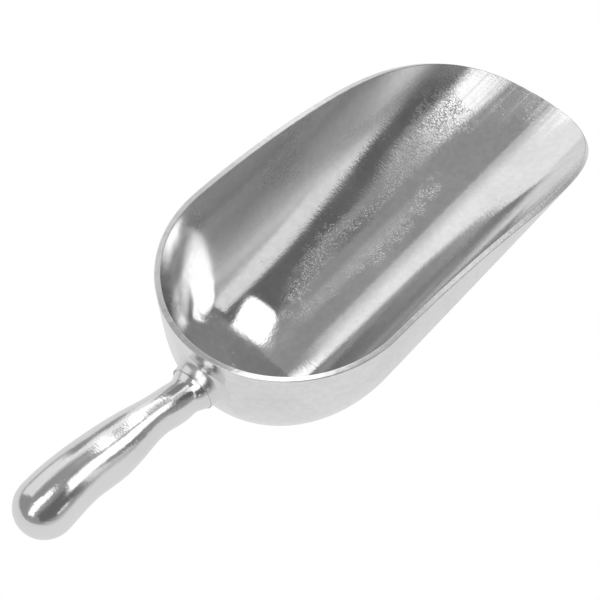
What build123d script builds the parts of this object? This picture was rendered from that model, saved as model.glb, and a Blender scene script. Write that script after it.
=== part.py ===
from build123d import *
from math import cos, pi, radians, sin, sqrt, tan
import os

# Cast-aluminium ice scoop, all sizes in millimetres.
# +X points to the pouring mouth, +Y across the bowl and +Z up.
# The origin is under the middle of the overall length, on the surface the bowl stands on.

# ---- bowl sizes ---------------------------------------------------------------------
overall_length = 404       # end of the grip to the tip of the lip
bowl_length = 288          # rear wall to the tip of the lip
bowl_width = 132           # across the rim
bowl_height = 80           # standing surface to the rim, where the half-elliptical rear begins
wall = 3                   # casting thickness
draft = radians(2)         # lean of the walls, so that the casting leaves its mould
side_corner = 62           # outside radius of the nearly half-round trough
rear_corner = 48           # outside radius between the rear wall and the floor
rear_depth = 70            # length of the half-elliptical rear of the rim
rim_slope = radians(3)     # the rim climbs towards the rear
rim_fall = 1.8             # 2 gives an elliptical fall to the lip, less a more sudden start
lip_squareness = 2.25      # 2 gives an elliptical lip, more gives a squarer one

# ---- weld ring that joins the handle to the rear wall -------------------------------
joint_height = 57.5        # axis of the joint above the standing surface
spigot_radius = 11         # plain end of the handle, inside the weld
weld_length = 5.5          # reach of the dressed weld along the handle
weld_radius = 12.5         # at the handle
weld_foot_radius = 19.5    # where the hollow flare would run out inside the rear wall
weld_foot_depth = 5        # depth of that point past the rear of the rim
weld_hollow = 1.5          # clearance of the flare's deepest point from wall and handle

# ---- grip: distance behind the rear wall, height of the centre, radius --------------
grip_stations = [
    (weld_length, joint_height, 12.0),  # shoulder against the weld
    (10, 58.2, 9.9),
    (16, 59.6, 9.9),                    # neck
    (30, 65.4, 9.9),
    (46, 69.9, 12.0),
    (62, 73.0, 13.8),                   # palm
    (78, 78.1, 13.9),
    (92, 79.6, 14.5),
    (101, 78.9, 14.8),                  # start of the rounded butt
]
grip_start = (-1, 0, 0)    # direction of the centre line at the weld
grip_end = (-1, 0, -0.1)   # and at the butt, which droops a little

# ---- derived dimensions -------------------------------------------------------------
half_width = bowl_width / 2
lip_x = overall_length / 2
rear_x = lip_x - bowl_length
arc_x = rear_x + rear_depth
rear_ratio = rear_depth / half_width  # the rear has the same shape at every level
butt_x = -overall_length / 2
joint_x = rear_x - weld_length
spare = 12                 # reach of a cutter past the metal
side_reach = half_width + 2 * spare
top_reach = bowl_height + 2 * spare


def set_back(z, height, corner):
    """Distance from the rim in to a drafted wall with a rounded foot, z above its floor."""
    if z >= corner * (1 - sin(draft)):
        return (height - z) * tan(draft)
    arc_centre = (corner + (height - corner) * sin(draft)) / cos(draft)
    return arc_centre - sqrt(corner**2 - (corner - z) ** 2)


def tub_levels(height, corner):
    """Levels at which the tub is drawn: close together round the corner, taller than the rim."""
    turns = [0, 3, 10, 20, 30, 40, 50, 60, 70, 80, 88]
    levels = [corner * (1 - cos(radians(turn))) for turn in turns]
    return levels + [(levels[-1] + height) / 2, height, height + spare]


def tub(offset):
    """Solid tub, open-ended past the lip. Offset 0 is the outside, offset wall the inside."""
    height = bowl_height - offset
    inset = offset / cos(draft)
    with BuildPart() as shape:
        for z in tub_levels(height, side_corner - offset):
            side = half_width - inset - set_back(z, height, side_corner - offset)
            rear = side * rear_ratio
            centre = rear_x + inset + set_back(z, height, rear_corner - offset) + rear
            with BuildSketch(Plane.XY.offset(z + offset)):
                with BuildLine():
                    Line((lip_x + spare, -side), (centre, -side))
                    EllipticalCenterArc((centre, 0), rear, side, start_angle=90, arc_size=180)
                    Line((centre, side), (lip_x + spare, side))
                    Line((lip_x + spare, side), (lip_x + spare, -side))
                make_face()
        loft()
    return shape.part


# The girth runs round the outside of the cross-section from the middle of the floor.
floor_half = half_width - set_back(0, bowl_height, side_corner)
corner_turn = pi / 2 - draft
corner_end = floor_half + side_corner * corner_turn
girth = corner_end + (bowl_height - side_corner * (1 - cos(corner_turn))) / cos(draft)


def skin_point(s):
    """Point (y, z) on the outside at girth s, and the slope of the wall there."""
    slope = min(max((s - floor_half) / side_corner, 0), corner_turn)
    rise = max(s - corner_end, 0)
    y = min(s, floor_half) + side_corner * sin(slope) + rise * sin(draft)
    z = side_corner * (1 - cos(slope)) + rise * cos(draft)
    return y, z, slope


def rim_girth(x):
    """Girth of the rim at station x: nearly a superellipse on the unrolled skin."""
    run = (x - arc_x) / (lip_x - arc_x)
    full = girth - (x - arc_x) * tan(rim_slope)
    return full * (1 - run**rim_fall) ** (1 / lip_squareness)


def rim_x(s):
    """Station where the rim comes down to girth s, found by halving."""
    behind, ahead = arc_x, lip_x
    for halving in range(50):
        middle = (behind + ahead) / 2
        if rim_girth(middle) > s:
            behind = middle
        else:
            ahead = middle
    return behind


# ---- bowl ---------------------------------------------------------------------------
outside = tub(0)
inside = tub(wall)

nose_x = rim_x(floor_half)  # where the rim comes down on to the flat of the floor
stations = 14
with BuildPart() as bowl:
    add(outside)
    add(inside, mode=Mode.SUBTRACT)

    # falling rim, cut square to the wall all the way down
    for i in range(stations + 1):
        x = arc_x + (nose_x - arc_x) * sin(pi / 2 * i / stations)
        y, z, slope = skin_point(max(rim_girth(x), floor_half))
        inner = (y - (wall + spare) * sin(slope), z + (wall + spare) * cos(slope))
        outer = (y + spare * sin(slope), z - spare * cos(slope))
        with BuildSketch(Plane.YZ.offset(x)):
            with BuildLine():
                right = Polyline(inner, outer, (side_reach, outer[1]), (side_reach, top_reach))
                mirror(right, about=Plane.YZ)
                Line((inner[0], inner[1]), (-inner[0], inner[1]))
                Line((side_reach, top_reach), (-side_reach, top_reach))
            make_face()
    loft(mode=Mode.SUBTRACT)

    # sloping rim round the rear, a little past the arc so that it runs into the fall
    far_behind = rear_x - spare
    with BuildSketch(Plane.XZ):
        with BuildLine():
            Polyline((arc_x + wall, bowl_height - wall * tan(rim_slope)),
                     (far_behind, bowl_height + (arc_x - far_behind) * tan(rim_slope)),
                     (far_behind, 2 * top_reach), (arc_x + wall, 2 * top_reach), close=True)
        make_face()
    extrude(amount=side_reach, both=True, mode=Mode.SUBTRACT)

    # front of the lip
    quarter = floor_half / 2
    with BuildSketch(Plane.XY.offset(-spare)):
        with BuildLine():
            Spline((nose_x, -floor_half), (rim_x(quarter), -quarter), (lip_x, 0),
                   (rim_x(quarter), quarter), (nose_x, floor_half))
            Polyline((nose_x, floor_half), (nose_x, side_reach),
                     (lip_x + 2 * spare, side_reach), (lip_x + 2 * spare, -side_reach),
                     (nose_x, -side_reach), (nose_x, -floor_half))
        make_face()
    extrude(amount=top_reach + spare, mode=Mode.SUBTRACT)
bowl.part.label = "bowl"

# ---- weld ---------------------------------------------------------------------------
with BuildPart() as weld:
    with BuildSketch(Plane.XZ):
        with BuildLine():
            foot = (rear_x + weld_foot_depth, joint_height + weld_foot_radius)
            crown = (joint_x, joint_height + weld_radius)
            deepest = (rear_x - weld_hollow, joint_height + weld_radius + weld_hollow)
            ThreePointArc(foot, deepest, crown)
            Polyline(crown, (joint_x, joint_height + spigot_radius),
                     (foot[0], joint_height + spigot_radius), foot)
        make_face()
    revolve(axis=Axis((0, 0, joint_height), (1, 0, 0)))
    add(outside, mode=Mode.SUBTRACT)
weld.part.label = "weld"

# ---- handle -------------------------------------------------------------------------
with BuildLine() as centre_line:
    Spline(*[(rear_x - behind, 0, z) for behind, z, radius in grip_stations],
           tangents=(grip_start, grip_end))
grip_line = centre_line.edge()
butt_centre = grip_line @ 1
butt_direction = grip_line % 1

with BuildPart() as handle:
    for behind, z, radius in grip_stations:
        centre = Vector(rear_x - behind, 0, z)
        along = grip_line % grip_line.param_at_point(centre)
        with BuildSketch(Plane(origin=centre, x_dir=(0, 1, 0), z_dir=along)):
            Circle(radius)
    loft()

    # rounded butt
    butt_radius = grip_stations[-1][2]
    butt_reach = (butt_centre.X - butt_x) / -butt_direction.X
    with BuildSketch(Plane(origin=butt_centre, x_dir=butt_direction, z_dir=(0, -1, 0))):
        with BuildLine():
            EllipticalCenterArc((0, 0), butt_reach, butt_radius, start_angle=0, arc_size=90)
            Polyline((0, butt_radius), (0, 0), (butt_reach, 0))
        make_face()
    revolve(axis=Axis(butt_centre, butt_direction))

    # spigot through the weld
    with BuildSketch(Plane.YZ.offset(joint_x)):
        with Locations((0, joint_height)):
            Circle(spigot_radius)
    extrude(amount=weld_length + spare)
    add(outside, mode=Mode.SUBTRACT)
handle.part.label = "handle"

os.makedirs("parts", exist_ok=True)
export_step(bowl.part, "parts/bowl.step")
export_step(weld.part, "parts/weld.step")
export_step(handle.part, "parts/handle.step")
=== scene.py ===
from math import cos, pi, radians, sin, tan

import bpy
import numpy as np
from mathutils import Matrix, Vector


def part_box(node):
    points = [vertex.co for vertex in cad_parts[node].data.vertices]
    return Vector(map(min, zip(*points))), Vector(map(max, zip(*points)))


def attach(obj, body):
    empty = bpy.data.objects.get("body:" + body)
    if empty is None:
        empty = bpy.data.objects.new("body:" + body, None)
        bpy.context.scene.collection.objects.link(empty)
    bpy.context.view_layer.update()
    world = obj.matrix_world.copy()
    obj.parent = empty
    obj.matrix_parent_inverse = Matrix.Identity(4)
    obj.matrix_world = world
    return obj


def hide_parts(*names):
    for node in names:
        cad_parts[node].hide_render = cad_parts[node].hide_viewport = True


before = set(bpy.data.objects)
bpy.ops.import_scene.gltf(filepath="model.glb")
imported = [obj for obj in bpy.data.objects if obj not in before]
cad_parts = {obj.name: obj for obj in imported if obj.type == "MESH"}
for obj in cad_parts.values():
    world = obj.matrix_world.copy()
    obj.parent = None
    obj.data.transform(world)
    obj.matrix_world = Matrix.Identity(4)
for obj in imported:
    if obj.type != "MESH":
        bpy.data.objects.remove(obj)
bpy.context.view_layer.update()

# Cast-aluminium ice scoop. Metres, +X to the pouring mouth, +Y across the bowl, +Z up.

# ---- sizes: the overall ones come from the frame, the rest are the casting's own ------
bowl_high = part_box("bowl")[1]
weld_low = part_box("weld")[0]
handle_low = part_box("handle")[0]

half_width = bowl_high.y
lip_x = bowl_high.x
bowl_length = 0.288
bowl_height = 0.080              # to the rim where the half-elliptical rear begins
wall = 0.003
draft = radians(2)
side_corner = 0.062
rear_corner = 0.048
rear_depth = 0.070
rim_slope = radians(3)
rim_fall = 1.8
lip_squareness = 2.25
edge_radius = 0.00045            # worn edges of the rim land

joint_height = 0.0575
joint_x = weld_low.x
weld_radius = 0.0125             # at the handle
weld_foot_radius = 0.0172        # where the flare meets the wall
weld_back_radius = 0.015         # hidden ring on the wall, between the foot and the bore
bore_radius = 0.011

# distance behind the rear wall, height of the centre, radius
grip_stations = [
    (0.0055, 0.0575, 0.0120),
    (0.0100, 0.0582, 0.0099),
    (0.0160, 0.0596, 0.0099),
    (0.0300, 0.0654, 0.0099),
    (0.0460, 0.0699, 0.0120),
    (0.0620, 0.0730, 0.0138),
    (0.0780, 0.0781, 0.0139),
    (0.0920, 0.0796, 0.0145),
    (0.1010, 0.0789, 0.0148),
]
grip_droop = 0.1                 # slope of the centre line at the butt
shoulder_taper = -0.6            # slope of the radius where the grip leaves the weld

# Two lines of coarse grain in the trough: (station, place, width). The places are points
# picked on the picture's own lines and projected on to the trough by a scratch program.
grain_lines = [
    [(-0.012, 0.0150, 0.0040), (0.026, 0.0245, 0.0055), (0.047, 0.0285, 0.0050),
     (0.077, 0.0230, 0.0022), (0.094, 0.0250, 0.0025), (0.113, 0.0300, 0.0050),
     (0.140, 0.0330, 0.0080), (0.170, 0.0290, 0.0100)],
    [(-0.012, 0.0130, 0.0030), (0.030, 0.0080, 0.0045), (0.055, 0.0045, 0.0050),
     (0.090, 0.0060, 0.0040), (0.125, 0.0125, 0.0050)],
]
grain_strengths = (1.0, 0.7)
grain_fade = 0.015               # length over which each line starts and ends

rear_x = lip_x - bowl_length
arc_x = rear_x + rear_depth
run_length = lip_x - arc_x
rear_ratio = rear_depth / half_width
corner_turn = pi / 2 - draft


# ---- mesh helpers ---------------------------------------------------------------------
def in_scene(name, data):
    obj = bpy.data.objects.new(name, data)
    bpy.context.scene.collection.objects.link(obj)
    return obj


def grid_object(name, points, normals, close_rows):
    """A smooth closed skin from a grid of points[row, ray], closed round its rays.

    The first and last rows are single points unless close_rows joins them to each other.
    """
    rows, rays, _ = points.shape
    if close_rows:
        vertices = points.reshape(-1, 3)
        vertex_normals = normals.reshape(-1, 3)
        first = np.arange(rows) * rays
        pairs = [(first[i], first[(i + 1) % rows]) for i in range(rows)]
        fans = []
    else:
        vertices = np.vstack([points[0, :1], points[1:-1].reshape(-1, 3), points[-1, :1]])
        vertex_normals = np.vstack(
            [normals[0, :1], normals[1:-1].reshape(-1, 3), normals[-1, :1]])
        first = 1 + np.arange(rows - 2) * rays
        pairs = list(zip(first[:-1], first[1:]))
        fans = [(0, first[0], False), (len(vertices) - 1, first[-1], True)]
    ray = np.arange(rays)
    after = (ray + 1) % rays
    faces = []
    for low, high in pairs:
        faces += np.stack([low + ray, high + ray, high + after, low + after], 1).tolist()
    for pole, ring, last in fans:
        around = (ring + ray, ring + after) if not last else (ring + after, ring + ray)
        faces += np.stack([np.full(rays, pole), *around], 1).tolist()
    mesh = bpy.data.meshes.new(name)
    mesh.from_pydata(vertices.tolist(), [], faces)
    mesh.validate()
    mesh.shade_smooth()
    mesh.normals_split_custom_set_from_vertices(unit(vertex_normals).tolist())
    return in_scene(name, mesh)


def fade(distance, softness):
    """0 up to the edge, rising smoothly to 1 at softness inside it."""
    share = np.clip(distance / softness, 0, 1)
    return share * share * (3 - 2 * share)


def unit(vectors):
    length = np.linalg.norm(vectors, axis=-1, keepdims=True)
    return vectors / np.maximum(length, 1e-12)


def grid_normals(points):
    """Normals of a grid of points that is closed round its rays."""
    around = np.roll(points, -1, axis=1) - np.roll(points, 1, axis=1)
    along = np.gradient(points, axis=0, edge_order=2)
    return unit(np.cross(along, around))


def evenly(curve, count, closed=False):
    """Points at equal distances along a finely drawn curve."""
    lengths = np.concatenate([[0], np.cumsum(np.linalg.norm(np.diff(curve, axis=0), axis=1))])
    wanted = np.linspace(0, lengths[-1], count, endpoint=not closed)
    return np.column_stack([np.interp(wanted, lengths, part) for part in curve.T])


# ---- bowl -----------------------------------------------------------------------------
def set_back(z, height, corner):
    """Distance from the rim in to a drafted wall with a rounded foot, z above its floor."""
    arc_centre = (corner + (height - corner) * sin(draft)) / cos(draft)
    on_arc = arc_centre - np.sqrt(np.maximum(corner**2 - (corner - z) ** 2, 0))
    return np.where(z >= corner * (1 - sin(draft)), (height - z) * tan(draft), on_arc)


floor_half = half_width - float(set_back(0.0, bowl_height, side_corner))
corner_end = floor_half + side_corner * corner_turn
girth = corner_end + (bowl_height - side_corner * (1 - cos(corner_turn))) / cos(draft)


def section(s, depth):
    """(y, z) across the trough at girth s, depth inside the outer skin."""
    corner = side_corner - depth
    slope = np.clip((s - floor_half) / side_corner, 0, corner_turn)
    straight = (bowl_height - depth - corner * (1 - cos(corner_turn))) / cos(draft)
    rise = np.maximum(s - corner_end, 0) / (girth - corner_end) * straight
    y = np.minimum(s, floor_half) + corner * np.sin(slope) + rise * sin(draft)
    z = depth + corner * (1 - np.cos(slope)) + rise * cos(draft)
    return y, z


def trough_points(x, s, depth):
    y, z = section(np.abs(s), depth)
    return np.stack([x, y * np.sign(s), z], -1)


def rear_level(s, depth):
    """Centre, length, half-width and height of the half-ellipse at girth s."""
    level = section(s, depth)[1] - depth
    height = bowl_height - depth
    inset = depth / cos(draft)
    side = half_width - inset - set_back(level, height, side_corner - depth)
    rear = side * rear_ratio
    centre = rear_x + inset + set_back(level, height, rear_corner - depth) + rear
    return centre, rear, side, level + depth


def rear_points(turn, s, depth):
    """The rear is elliptical at every level; on the flat it shrinks towards its centre."""
    centre, rear, side, z = rear_level(s, depth)
    share = np.minimum(s / floor_half, 1)
    return np.stack([centre - share * rear * np.sin(turn), share * side * np.cos(turn),
                     z + 0 * turn], -1)


def make_bowl(front_rays, rear_rays, skin_rows):
    # the falling rim is nearly a superellipse on the unrolled skin, from +Y round to -Y
    run = np.sin(np.linspace(0, pi / 2, 4000))
    full = girth - run * run_length * tan(rim_slope)
    half = np.column_stack([run * run_length,
                            full * (1 - run**rim_fall) ** (1 / lip_squareness)])
    curve = np.vstack([half, half[-2::-1] * (1, -1)])
    rim = evenly(curve, front_rays + 1)
    along = np.gradient(rim, axis=0, edge_order=2)
    inward = unit(np.column_stack([along[:, 1], -along[:, 0]]))
    turns = np.linspace(pi, 0, rear_rays + 1)[1:-1]
    rear_rim = girth + rear_depth * np.sin(turns) * tan(rim_slope)

    # each ray runs out over the outer skin, over the rim land and back over the inner skin
    reach = np.linspace(0, 1, skin_rows)
    arc = np.linspace(0, pi / 2, 6)[1:]
    land = np.linspace(edge_radius, wall - edge_radius, 5)[1:]
    stops = [(k, edge_radius, 0.0) for k in reach]
    stops += [(1, edge_radius * (1 - sin(a)), edge_radius * (1 - cos(a))) for a in arc]
    stops += [(1, 0.0, d) for d in land]
    stops += [(1, edge_radius * (1 - cos(a)), wall - edge_radius * (1 - sin(a))) for a in arc]
    stops += [(k, edge_radius, wall) for k in reach[-2::-1]]

    rows = []
    for share, drop, depth in stops:
        front = share * (rim + drop * inward)
        behind = rear_level(np.array(share * (girth - drop)), depth)[0]
        rows.append(np.vstack([
            trough_points(behind + front[:, 0], front[:, 1], depth),
            rear_points(turns, share * (rear_rim - drop), depth)]))
    points = np.array(rows)
    normals = np.empty_like(points)
    last = skin_rows - 1
    start = len(points) - skin_rows
    normals[:skin_rows] = grid_normals(points[:skin_rows])
    normals[start:] = grid_normals(points[start:])
    normals[0], normals[-1] = (0, 0, -1), (0, 0, 1)
    # round the rim the normal swings from the outer skin over the land to the inner one
    out, over = normals[last], np.cross(normals[last], unit(
        np.roll(points[last], -1, axis=0) - np.roll(points[last], 1, axis=0)))
    middle = points[(last + start) // 2] - points[last]
    over = unit(over * np.sign(np.sum(over * middle, -1, keepdims=True)))
    for i, a in enumerate(arc, 1):
        normals[last + i] = cos(a) * out + sin(a) * over
    for i in range(len(land)):
        normals[last + len(arc) + 1 + i] = over
    for i, a in enumerate(arc[:-1], 1):
        normals[last + len(arc) + len(land) + i] = cos(a) * over + sin(a) * normals[start]
    bowl = grid_object("bowl_casting", points, normals, close_rows=False)

    # where the rim land and the coarse grain of the casting are, for the material
    row = np.arange(len(points))[:, None] + np.zeros(points.shape[1])
    on_land = ((row > last + 1) & (row < start)).astype(float)
    x, y = points[..., 0], points[..., 1]
    grainy = np.zeros_like(x)
    for line, strength in zip(grain_lines, grain_strengths):
        at, place, width = np.array(line).T
        seam = np.exp(-((y - np.interp(x, at, place)) / np.interp(x, at, width)) ** 2)
        seam *= strength * fade(x - at[0], grain_fade) * fade(at[-1] - x, grain_fade)
        grainy = np.maximum(grainy, seam * (row >= start))
    for attribute, values in (("land", on_land), ("grain", grainy)):
        flat = np.concatenate([[values[0, 0]], values[1:-1].ravel(), [values[-1, 0]]])
        layer = bowl.data.attributes.new(attribute, "FLOAT", "POINT")
        layer.data.foreach_set("value", flat.astype(np.float32))
    return bowl


# ---- handle ---------------------------------------------------------------------------
def smooth_spline(knots, values, first_slope, last_slope, at):
    """Cubic spline through the values, with the end slopes given; also its derivative."""
    h = np.diff(knots)
    n = len(knots)
    system = np.zeros((n, n))
    target = np.zeros_like(values)
    system[0, 0] = system[-1, -1] = 1
    target[0], target[-1] = first_slope, last_slope
    for i in range(1, n - 1):
        system[i, i - 1:i + 2] = 1 / h[i - 1], 2 / h[i - 1] + 2 / h[i], 1 / h[i]
        target[i] = 3 * ((values[i] - values[i - 1]) / h[i - 1]**2
                         + (values[i + 1] - values[i]) / h[i]**2)
    slopes = np.linalg.solve(system, target)
    i = np.clip(np.searchsorted(knots, at) - 1, 0, n - 2)
    u = ((at - knots[i]) / h[i])[:, None]
    span = h[i][:, None]
    point = ((2 * u**3 - 3 * u**2 + 1) * values[i] + (3 * u**2 - 2 * u**3) * values[i + 1]
             + span * ((u**3 - 2 * u**2 + u) * slopes[i] + (u**3 - u**2) * slopes[i + 1]))
    slope = ((6 * u**2 - 6 * u) * (values[i] - values[i + 1]) / span
             + (3 * u**2 - 4 * u + 1) * slopes[i] + (3 * u**2 - 2 * u) * slopes[i + 1])
    return point, slope


def make_handle(length_rows, around):
    stations = np.array(grip_stations)
    centres = np.column_stack([rear_x - stations[:, 0], stations[:, 1]])
    knots = np.concatenate([[0], np.cumsum(np.linalg.norm(np.diff(centres, axis=0), axis=1))])
    at = np.linspace(0, knots[-1], length_rows)
    end_direction = np.array([-1, -grip_droop]) / np.hypot(1, grip_droop)
    centre, direction = smooth_spline(knots, centres, np.array([-1.0, 0.0]), end_direction, at)
    radius, swell = smooth_spline(
        knots, stations[:, 2:], np.array([shoulder_taper]), np.array([0.0]), at)
    direction = unit(direction)

    # rounded butt: a half ellipsoid that reaches the end of the box
    reach = (centre[-1, 0] - handle_low.x) / -direction[-1, 0]
    turns = np.linspace(0, pi / 2, 40)[1:]
    centre = np.vstack([centre, centre[-1] + np.outer(np.sin(turns) * reach, direction[-1])])
    swell = np.concatenate([swell[:, 0], -np.tan(turns) * radius[-1, 0] / reach])
    radius = np.concatenate([radius[:, 0], radius[-1, 0] * np.cos(turns)])
    direction = np.vstack([direction, np.tile(direction[-1], (len(turns), 1))])

    # the flat end hidden in the weld, so steep that it faces back along the axis
    end_share = 0.98
    end_swell = 1e6
    centre = np.vstack([centre[:1], centre[:1], centre])
    direction = np.vstack([direction[:1], direction[:1], direction])
    radius = np.concatenate([[0, radius[0] * end_share], radius])
    swell = np.concatenate([[end_swell, end_swell], swell])

    turn = np.linspace(0, 2 * pi, around, endpoint=False)
    up = np.column_stack([-direction[:, 1], np.zeros(len(direction)), direction[:, 0]])
    ring = (np.cos(turn)[None, :, None] * up[:, None, :]
            + np.sin(turn)[None, :, None] * np.array([0, 1, 0]))
    middle = np.column_stack([centre[:, 0], np.zeros(len(centre)), centre[:, 1]])
    points = middle[:, None, :] + radius[:, None, None] * ring
    axial = np.column_stack([direction[:, 0], np.zeros(len(direction)), direction[:, 1]])
    normals = unit(ring - swell[:, None, None] * axial[:, None, :])
    return grid_object("handle_grip", points, normals, close_rows=False)


# ---- weld -----------------------------------------------------------------------------
def wall_x(y, z):
    """Station of the outside of the rear wall."""
    side = half_width - set_back(z, bowl_height, side_corner)
    rear = side * rear_ratio
    centre = rear_x + set_back(z, bowl_height, rear_corner) + rear
    return centre - rear * np.sqrt(1 - (y / side) ** 2)


def make_weld(around):
    turn = np.linspace(0, 2 * pi, around, endpoint=False)
    flare = np.linspace(0, 1, 14)
    rows = []
    for u in flare:
        r = weld_radius + (weld_foot_radius - weld_radius) * (1 - cos(u * pi / 2))
        y, z = r * np.sin(turn), joint_height + r * np.cos(turn)
        x = wall_x(y, z)
        crown_gap = x - joint_x
        rows.append(np.column_stack([x - crown_gap * (1 - sin(u * pi / 2)), y, z]))
    flare_normals = grid_normals(np.array(rows))
    for r in (weld_back_radius, bore_radius):
        y, z = r * np.sin(turn), joint_height + r * np.cos(turn)
        rows.append(np.column_stack([wall_x(y, z), y, z]))
    y, z = bore_radius * np.sin(turn), joint_height + bore_radius * np.cos(turn)
    rows.append(np.column_stack([np.full(around, joint_x), y, z]))
    points = np.array(rows)
    normals = np.empty_like(points)
    normals[:len(flare)] = flare_normals
    normals[len(flare):] = (1, 0, 0)
    return grid_object("weld_ring", points, normals, close_rows=True)


# ---- materials ------------------------------------------------------------------------
node_gap = 180                   # spacing in the node editor
first_column = -50
least_roughness = 0.06
most_roughness = 0.6


def node(tree, kind, x, y, **settings):
    n = tree.nodes.new(kind)
    n.location = (x, y)
    for name, value in settings.items():
        setattr(n, name, value)
    return n


class Surface:
    """Small helper that writes a material's nodes from left to right."""

    def __init__(self, name):
        self.material = bpy.data.materials.new(name)
        self.material.use_nodes = True
        self.tree = self.material.node_tree
        self.shader = self.tree.nodes["Principled BSDF"]
        self.column = 0
        place = self.add("ShaderNodeTexCoord")
        self.place = place.outputs["Object"]
        parts = self.add("ShaderNodeSeparateXYZ")
        self.tree.links.new(self.place, parts.inputs[0])
        self.x = parts.outputs["X"]
        self.z = parts.outputs["Z"]

    def add(self, kind, **settings):
        self.column += 1
        return node(self.tree, kind, node_gap * (first_column + self.column), 0, **settings)

    def feed(self, socket, value):
        if isinstance(value, (int, float)):
            socket.default_value = value
        else:
            self.tree.links.new(value, socket)

    def maths(self, operation, a, b):
        n = self.add("ShaderNodeMath", operation=operation)
        self.feed(n.inputs[0], a)
        self.feed(n.inputs[1], b)
        return n.outputs[0]

    def total(self, *terms):
        result = terms[0]
        for term in terms[1:]:
            result = self.maths("ADD", result, term)
        return result

    def ramp(self, value, low, high, first, last):
        n = self.add("ShaderNodeMapRange", interpolation_type="SMOOTHSTEP")
        self.feed(n.inputs["Value"], value)
        for key, number in (("From Min", low), ("From Max", high),
                            ("To Min", first), ("To Max", last)):
            n.inputs[key].default_value = number
        return n.outputs["Result"]

    def stretched(self, scale):
        n = self.add("ShaderNodeMapping")
        n.inputs["Scale"].default_value = scale
        self.tree.links.new(self.place, n.inputs["Vector"])
        return n.outputs[0]

    def noise(self, scale, detail=2.0, roughness=0.5):
        """Noise with so many features per metre along x, y and z."""
        n = self.add("ShaderNodeTexNoise")
        self.tree.links.new(self.stretched(scale), n.inputs["Vector"])
        n.inputs["Scale"].default_value = 1.0
        n.inputs["Detail"].default_value = detail
        n.inputs["Roughness"].default_value = roughness
        return n.outputs["Fac"]

    def pits(self, scale, size):
        """Small round pits, one in each cell: 1 in the middle of a pit, 0 outside."""
        n = self.add("ShaderNodeTexVoronoi")
        self.tree.links.new(self.stretched((scale, scale, scale)), n.inputs["Vector"])
        n.inputs["Scale"].default_value = 1.0
        return self.ramp(n.outputs["Distance"], 0.0, size, 1.0, 0.0)

    def attribute(self, name):
        return self.add("ShaderNodeAttribute", attribute_name=name).outputs["Fac"]

    def finish(self, roughness, height, shade):
        """Bare aluminium: height in metres, shade is the reflectance."""
        clean = self.add("ShaderNodeClamp")
        self.tree.links.new(roughness, clean.inputs["Value"])
        clean.inputs["Min"].default_value = least_roughness
        clean.inputs["Max"].default_value = most_roughness
        bump = self.add("ShaderNodeBump")
        bump.inputs["Strength"].default_value = 1.0
        bump.inputs["Distance"].default_value = 1.0
        self.tree.links.new(height, bump.inputs["Height"])
        colour = self.add("ShaderNodeCombineColor")
        for channel in colour.inputs:
            self.feed(channel, shade)
        shader = self.shader
        shader.inputs["Metallic"].default_value = 1
        self.tree.links.new(clean.outputs["Result"], shader.inputs["Roughness"])
        self.tree.links.new(bump.outputs["Normal"], shader.inputs["Normal"])
        self.tree.links.new(colour.outputs["Color"], shader.inputs["Base Color"])
        return self.material


def polished_bowl():
    m = Surface("polished_bowl")
    # mirror polish in the trough, satin higher up the walls
    satin = m.maths("MULTIPLY", m.ramp(m.z, 0.020, 0.033, 0.0, 0.20),
                    m.ramp(m.x, -0.045, -0.015, 0.35, 1.0))
    clouds = m.noise((30, 30, 30), detail=4)
    peel = m.noise((150, 150, 150), detail=1)
    wheel = m.noise((8, 420, 420), detail=3)
    lip = m.ramp(m.x, 0.135, 0.195, 0.25, 1.0)
    rare = m.ramp(m.noise((70, 70, 70)), 0.50, 0.62, 0.0, 1.0)
    pitted = m.maths("MULTIPLY", m.pits(480, 0.22), rare)
    speckle = m.ramp(m.noise((1000, 1000, 1000), detail=3), 0.52, 0.60, 0.0, 1.0)
    broken = m.ramp(m.noise((160, 160, 160), detail=2), 0.38, 0.58, 0.1, 1.0)
    grain = m.maths("MULTIPLY", m.attribute("grain"), m.maths("MULTIPLY", speckle, broken))
    land = m.attribute("land")
    nicks = m.noise((260, 260, 260), detail=3)
    sparkle = m.noise((800, 800, 800), detail=2)
    roughness = m.total(
        satin, m.ramp(clouds, 0.3, 0.7, 0.065, 0.11),
        m.maths("MULTIPLY", m.ramp(wheel, 0.45, 0.75, 0.0, 0.10), lip),
        m.maths("MULTIPLY", pitted, 0.20), m.maths("MULTIPLY", grain, 0.30),
        m.maths("MULTIPLY", land, 0.14))
    height = m.total(
        m.maths("MULTIPLY", peel, 1e-5), m.maths("MULTIPLY", nicks, 5e-6),
        m.maths("MULTIPLY", m.maths("MULTIPLY", wheel, lip), 6e-6),
        m.maths("MULTIPLY", pitted, -2e-5), m.maths("MULTIPLY", grain, 8e-5),
        m.maths("MULTIPLY", sparkle, 2.2e-5),
        m.maths("MULTIPLY", m.maths("MULTIPLY", nicks, land), 2.5e-4))
    shade = m.total(
        m.ramp(clouds, 0.3, 0.7, 0.74, 0.80), m.ramp(nicks, 0.35, 0.65, -0.02, 0.02),
        m.maths("MULTIPLY", pitted, -0.12))
    return m.finish(roughness, height, shade)


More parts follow.
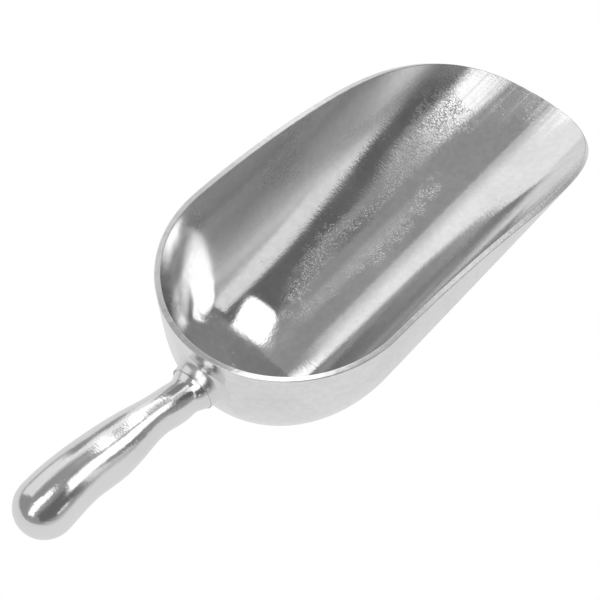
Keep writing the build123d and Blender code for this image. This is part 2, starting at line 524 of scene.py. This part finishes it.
def polished_handle():
    m = Surface("polished_handle")
    clouds = m.noise((45, 45, 45), detail=4)
    peel = m.noise((110, 110, 110), detail=2)
    strokes = m.noise((14, 700, 700), detail=3)
    sparkle = m.noise((950, 950, 950), detail=2)
    rare = m.ramp(m.noise((80, 80, 80)), 0.50, 0.62, 0.0, 1.0)
    pitted = m.maths("MULTIPLY", m.pits(420, 0.24), rare)
    roughness = m.total(
        m.ramp(clouds, 0.3, 0.7, 0.12, 0.18), m.ramp(strokes, 0.45, 0.75, 0.0, 0.06),
        m.maths("MULTIPLY", pitted, 0.18))
    height = m.total(
        m.maths("MULTIPLY", peel, 3e-5), m.maths("MULTIPLY", strokes, 5e-6),
        m.maths("MULTIPLY", sparkle, 5e-5),
        m.maths("MULTIPLY", pitted, -2e-5))
    shade = m.total(m.ramp(clouds, 0.3, 0.7, 0.75, 0.80), m.maths("MULTIPLY", pitted, -0.12))
    return m.finish(roughness, height, shade)


def dressed_weld():
    m = Surface("dressed_weld")
    clouds = m.noise((90, 90, 90), detail=4)
    ripple = m.noise((260, 260, 260), detail=2)
    filing = m.noise((900, 120, 120), detail=3)
    pitted = m.maths("MULTIPLY", m.pits(600, 0.3), m.ramp(clouds, 0.45, 0.6, 0.0, 1.0))
    roughness = m.total(
        m.ramp(clouds, 0.3, 0.7, 0.18, 0.28), m.ramp(filing, 0.45, 0.75, 0.0, 0.10),
        m.maths("MULTIPLY", pitted, 0.20))
    height = m.total(
        m.maths("MULTIPLY", ripple, 3e-5), m.maths("MULTIPLY", filing, 5e-6),
        m.maths("MULTIPLY", pitted, -3e-5))
    shade = m.total(m.ramp(clouds, 0.3, 0.7, 0.72, 0.79), m.maths("MULTIPLY", pitted, -0.15))
    return m.finish(roughness, height, shade)


# ---- build ----------------------------------------------------------------------------
bowl = make_bowl(*(((400, 130, 90))))
handle = make_handle(*(((200, 96))))
weld = make_weld(128)
for piece, cad_node, slot, finish in (
        (bowl, "bowl", "polished_bowl", polished_bowl),
        (handle, "handle", "polished_handle", polished_handle),
        (weld, "weld", "dressed_weld", dressed_weld)):
    piece.data.materials.append(finish())
    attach(piece, "root")
    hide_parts(cad_node)


# ---- studio ---------------------------------------------------------------------------
panel_steps = 60
card_steps = 30
wall_card_steps = 40
wall_card_end_soft = 0.002       # metres over which its top and bottom fade in
floor_reach = 6.0
floor_for_camera = 1.0
floor_for_metal = 0.81
backdrop_for_camera = 1.0
cloth_for_metal = 0.33


def unseen(obj):
    """The camera does not see it and it casts no shadow: only reflections show it."""
    obj.visible_camera = False
    obj.visible_shadow = False


def emission(name, level, faded=False):
    """A plain glow; a faded one follows the mesh's own cover attribute at its edges."""
    material = bpy.data.materials.new(name)
    material.use_nodes = True
    tree = material.node_tree
    tree.nodes.clear()
    glow = node(tree, "ShaderNodeEmission", 0, 0)
    glow.inputs["Strength"].default_value = level
    out = node(tree, "ShaderNodeOutputMaterial", 600, 0)
    if not faded:
        tree.links.new(glow.outputs[0], out.inputs["Surface"])
        return material
    cover = node(tree, "ShaderNodeAttribute", 0, 200, attribute_name="cover")
    clear = node(tree, "ShaderNodeBsdfTransparent", 0, -200)
    mix = node(tree, "ShaderNodeMixShader", 300, 0)
    tree.links.new(cover.outputs["Fac"], mix.inputs["Fac"])
    tree.links.new(clear.outputs[0], mix.inputs[1])
    tree.links.new(glow.outputs[0], mix.inputs[2])
    tree.links.new(mix.outputs[0], out.inputs["Surface"])
    return material


def tent_panel(name, level, radius, stations, soft=(2, 2), soft_ends=(0.01, 0.01)):
    """A panel of the light tent, on a tunnel round the scoop's own axis.

    Each station is (x, angle, angle): degrees from overhead towards +Y. The panel fades in
    over soft degrees inside its two edges and over soft_ends metres inside its two ends.
    """
    stations = np.array(stations)
    xs = np.linspace(stations[0, 0], stations[-1, 0], panel_steps)[:, None]
    start = np.interp(xs, stations[:, 0], stations[:, 1])
    end = np.interp(xs, stations[:, 0], stations[:, 2])
    angle = start + (end - start) * np.linspace(0, 1, panel_steps)
    cover = (fade(abs(angle - start), soft[0]) * fade(abs(end - angle), soft[1])
             * fade(xs - xs[0], soft_ends[0]) * fade(xs[-1] - xs, soft_ends[1]))
    turn = np.radians(angle)
    return card(name, level, cover,
                radius * np.stack([xs + 0 * turn, np.sin(turn), np.cos(turn)], -1))


def card(name, level, cover, points):
    """A glowing sheet through a grid of points, as solid at each as cover says."""
    rows, columns = cover.shape
    i = (np.arange(rows - 1)[:, None] * columns + np.arange(columns - 1)).ravel()
    faces = np.stack([i, i + 1, i + columns + 1, i + columns], 1)
    mesh = bpy.data.meshes.new(name)
    mesh.from_pydata(points.reshape(-1, 3).tolist(), [], faces.tolist())
    covering = mesh.attributes.new("cover", "FLOAT", "POINT")
    covering.data.foreach_set("value", cover.astype(np.float32).ravel())
    mesh.materials.append(emission(name, level, faded=True))
    obj = in_scene(name, mesh)
    unseen(obj)
    return obj


def small_card(name, level, corners, soft, corner_power):
    """A flat four-cornered card, rounder with a lower power, that fades in at its edges."""
    u = np.linspace(0, 1, card_steps)[:, None, None]
    v = np.linspace(0, 1, card_steps)[None, :, None]
    a, b, c, d = np.array(corners)
    points = (1 - u) * ((1 - v) * a + v * b) + u * ((1 - v) * d + v * c)
    rounded = (abs(2 * u - 1) ** corner_power + abs(2 * v - 1) ** corner_power)
    cover = fade(1 - rounded ** (1 / corner_power), soft)
    return card(name, level, cover[..., 0], points)


def wall_card(name, level, edges, gap, soft):
    """A card that follows the inside of the rear wall.

    Each edge is (height, turn, turn): degrees round the rear from its +Y end.
    """
    edges = np.array(edges)
    heights = np.linspace(edges[0, 0], edges[-1, 0], wall_card_steps)
    start = np.interp(heights, edges[:, 0], edges[:, 1])[:, None]
    end = np.interp(heights, edges[:, 0], edges[:, 2])[:, None]
    turn = np.radians(start + (end - start) * np.linspace(0, 1, wall_card_steps))
    girths = np.linspace(0, girth, 400)
    at = np.interp(heights, section(girths, wall + gap)[1], girths)
    points = np.stack([rear_points(row, s, wall + gap) for row, s in zip(turn, at)])
    from_side = np.minimum(turn - turn[:, :1], turn[:, -1:] - turn)
    from_end = np.minimum(heights - heights[0], heights[-1] - heights)[:, None]
    cover = fade(from_side, radians(soft)) * fade(from_end, wall_card_end_soft)
    return card(name, level, cover, points)


# Edges and levels were read from a map that a scratch program made by following the picture's
# brightness back along the rays that the metal reflects. Nearer panels hide the further ones.
tent_panel("ceiling", 0.46, 0.999, [(0.42, 22, 2), (0.66, 22, 2)], soft=(7, 6),
           soft_ends=(0.02, 0.04))
tent_panel("trench", 0.14, 0.998, [
    (0.28, -5, -60), (0.45, -5, -60), (0.465, -13, -60), (0.48, -17, -60), (0.51, -25, -60),
    (0.60, -27, -60), (0.66, -36, -66), (0.69, -42, -70), (0.705, -48, -80), (0.78, -45, -92),
    (0.83, -50, -80)], soft=(6, 4))
tent_panel("trench_side", 0.18, 0.997, [(0.52, -5, -21), (0.60, -5, -21)], soft=(5, 3),
           soft_ends=(0.02, 0.02))
tent_panel("wedge", 0.85, 0.996, [
    (0.30, -42, -91), (0.44, -42, -91), (0.48, -43, -91), (0.51, -45.5, -91), (0.54, -48, -91),
    (0.57, -51, -91), (0.60, -54, -91), (0.63, -58, -91), (0.66, -62, -91), (0.69, -66, -91),
    (0.72, -73, -90), (0.75, -79, -86)], soft=(5, 24), soft_ends=(0.01, 0.05))
tent_panel("left_glow", 0.58, 0.995, [(0.40, 25.5, 50), (1.5, 25.5, 50)], soft=(2, 2))
tent_panel("left_bank", 0.97, 0.994, [
    (0.40, 26, 53), (0.48, 26, 53.5), (0.54, 26, 54.5), (0.60, 26, 57), (0.63, 26, 59.5),
    (0.66, 26, 62), (0.69, 26, 66.5), (0.71, 26, 72), (0.74, 26, 92), (0.78, 26, 112),
    (1.5, 26, 112)], soft=(18, 5))
tent_panel("lip_lamp", 1.45, 4.0, [
    (0.604, -17, -37), (0.63, -14, -47), (0.665, -11, -48), (0.69, -9, -51), (0.73, -5, -58)],
    soft=(5, 5), soft_ends=(0.06, 0.005))
tent_panel("front_lamp", 1.9, 0.992, [(0.905, 60, -9), (1.5, 60, -9)])
tent_panel("far_dark", 0.22, 0.991, [(0.88, -11, -62), (2.5, -11, -62)])
tent_panel("rear_left_lamp", 1.6, 0.989, [
    (0.36, 28, 60), (0.375, 33, 60), (0.39, 37, 60), (0.405, 44, 60), (0.413, 50, 60)],
    soft_ends=(0.004, 0.004))
tent_panel("overhead", 1.6, 0.988, [
    (-2.5, 28, -14), (-1.2, 22, -8), (-0.23, 9, -12), (0.0, 3, -12)], soft_ends=(0.1, 0.05))
tent_panel("low_left", 0.9, 0.987, [(-0.5, 27, 85), (0.36, 27, 85)], soft=(10, 14),
           soft_ends=(0.15, 0.01))
tent_panel("dark_right", 0.15, 0.986, [
    (-1.6, -24, -70), (0.1, -24, -72), (0.35, -40, -82)], soft=(6, 4), soft_ends=(0.1, 0.03))
tent_panel("glint", 1.5, 0.985, [(-0.16, -66, -72), (0.08, -66, -72)], soft_ends=(0.05, 0.05))
tent_panel("right_bank", 0.58, 0.984, [(-1.2, -74, -125), (0.35, -82, -125)], soft=(4, 4))

# Glowing cards and dark flags inside the bowl, 5 or 6 mm off the rear wall or about 25 mm up.
# They are not a studio's lights: their outlines were traced back from the picture's highlights,
# so that each is reflected where the picture has its patch. From above they show as patches.
# floor_flag and wall_flag hide an unwanted stripe from lip_lamp.
small_card("floor_card", 1.6, [(-0.0047, 0.0252, 0.025), (0.0016, 0.0160, 0.025),
                               (-0.0215, 0.0138, 0.025), (-0.0246, 0.0220, 0.025)], 0.12, 4)
small_card("floor_flag", 0.23, [(-0.0224, 0.0290, 0.0246), (-0.0224, 0.0010, 0.0246),
                                (-0.0400, 0.0010, 0.0246), (-0.0400, 0.0290, 0.0246)], 0.02, 20)
small_card("wall_flag", 0.25, [(-0.0400, 0.0060, 0.0120), (-0.0400, 0.0380, 0.0120),
                               (-0.0400, 0.0380, 0.0246), (-0.0400, 0.0060, 0.0246)], 0.1, 20)
wall_card("wall_card", 1.4, [
    (0.0205, 9, 13), (0.0225, 0, 14.5), (0.0266, -4.5, 12.5), (0.0337, -7, 9),
    (0.0437, -6, 4), (0.0500, -2.5, 2), (0.0520, -2, 0.5)], gap=0.006, soft=1.5)
wall_card("rim_card", 1.7, [
    (0.024, 25, 38), (0.0325, 20, 50), (0.042, 16, 50), (0.052, 12.5, 44),
    (0.062, 8, 32), (0.070, 4.5, 18)], gap=0.005, soft=2)

# narrow lamp close over the grip
grip_lamp_mesh = bpy.data.meshes.new("grip_lamp")
grip_lamp_mesh.from_pydata(
    [(-0.165, -0.016, 0.120), (-0.015, -0.010, 0.102), (-0.015, -0.050, 0.102),
     (-0.165, -0.046, 0.120)], [], [(0, 1, 2, 3)])
grip_lamp_mesh.materials.append(emission("grip_lamp", 1.5))
grip_lamp = in_scene("grip_lamp", grip_lamp_mesh)
unseen(grip_lamp)

# white floor without shadows; the metal sees it a little dimmer than the camera does
floor_mesh = bpy.data.meshes.new("floor")
floor_mesh.from_pydata(
    [(-floor_reach, -floor_reach, 0), (floor_reach, -floor_reach, 0),
     (floor_reach, floor_reach, 0), (-floor_reach, floor_reach, 0)], [], [(0, 1, 2, 3)])
floor_mesh.materials.append(emission("floor", floor_for_camera))
floor_tree = floor_mesh.materials[0].node_tree
ray = node(floor_tree, "ShaderNodeLightPath", -400, 0)
level = node(floor_tree, "ShaderNodeMapRange", -200, 0)
level.inputs["To Min"].default_value = floor_for_metal
level.inputs["To Max"].default_value = floor_for_camera
floor_tree.links.new(ray.outputs["Is Camera Ray"], level.inputs["Value"])
floor_tree.links.new(level.outputs["Result"], floor_tree.nodes["Emission"].inputs["Strength"])
floor = in_scene("floor", floor_mesh)

# dim tent cloth everywhere else; only the camera sees the pale backdrop
world = bpy.data.worlds.new("studio")
bpy.context.scene.world = world
world.use_nodes = True
sky = world.node_tree
sky.nodes.clear()
backdrop = node(sky, "ShaderNodeBackground", 0, 100)
backdrop.inputs["Strength"].default_value = backdrop_for_camera
backdrop.inputs["Color"].default_value = (1, 1, 1, 1)
cloth = node(sky, "ShaderNodeBackground", 0, -100)
cloth.inputs["Strength"].default_value = cloth_for_metal
cloth.inputs["Color"].default_value = (1, 1, 1, 1)
ray = node(sky, "ShaderNodeLightPath", -200, 300)
pick = node(sky, "ShaderNodeMixShader", 300, 0)
out = node(sky, "ShaderNodeOutputWorld", 600, 0)
sky.links.new(ray.outputs["Is Camera Ray"], pick.inputs["Fac"])
sky.links.new(cloth.outputs[0], pick.inputs[1])
sky.links.new(backdrop.outputs[0], pick.inputs[2])
sky.links.new(pick.outputs[0], out.inputs["Surface"])

# ---- camera ---------------------------------------------------------------------------
view_azimuth = radians(222.04)      # from +X, anticlockwise seen from above
view_elevation = radians(57.18)
view_roll = radians(-1.69)
view_distance = 0.900
view_aim = Vector((-0.0061, 0.0054, 0.030))
view_lens = 104.64                  # millimetres, on a sensor 36 mm wide
camera_data = bpy.data.cameras.new("camera")
camera_data.lens = view_lens
camera_data.sensor_width = 36.0
camera = in_scene("camera", camera_data)
back = Vector((cos(view_elevation) * cos(view_azimuth),
               cos(view_elevation) * sin(view_azimuth), sin(view_elevation)))
right = (-back).cross(Vector((0, 0, 1))).normalized()
upward = right.cross(-back)
right, upward = (cos(view_roll) * right + sin(view_roll) * upward,
                 cos(view_roll) * upward - sin(view_roll) * right)
turned = Matrix((right, upward, back)).transposed().to_4x4()
camera.matrix_world = Matrix.Translation(view_aim + view_distance * back) @ turned
bpy.context.scene.camera = camera
bpy.context.scene.view_settings.view_transform = "Standard"
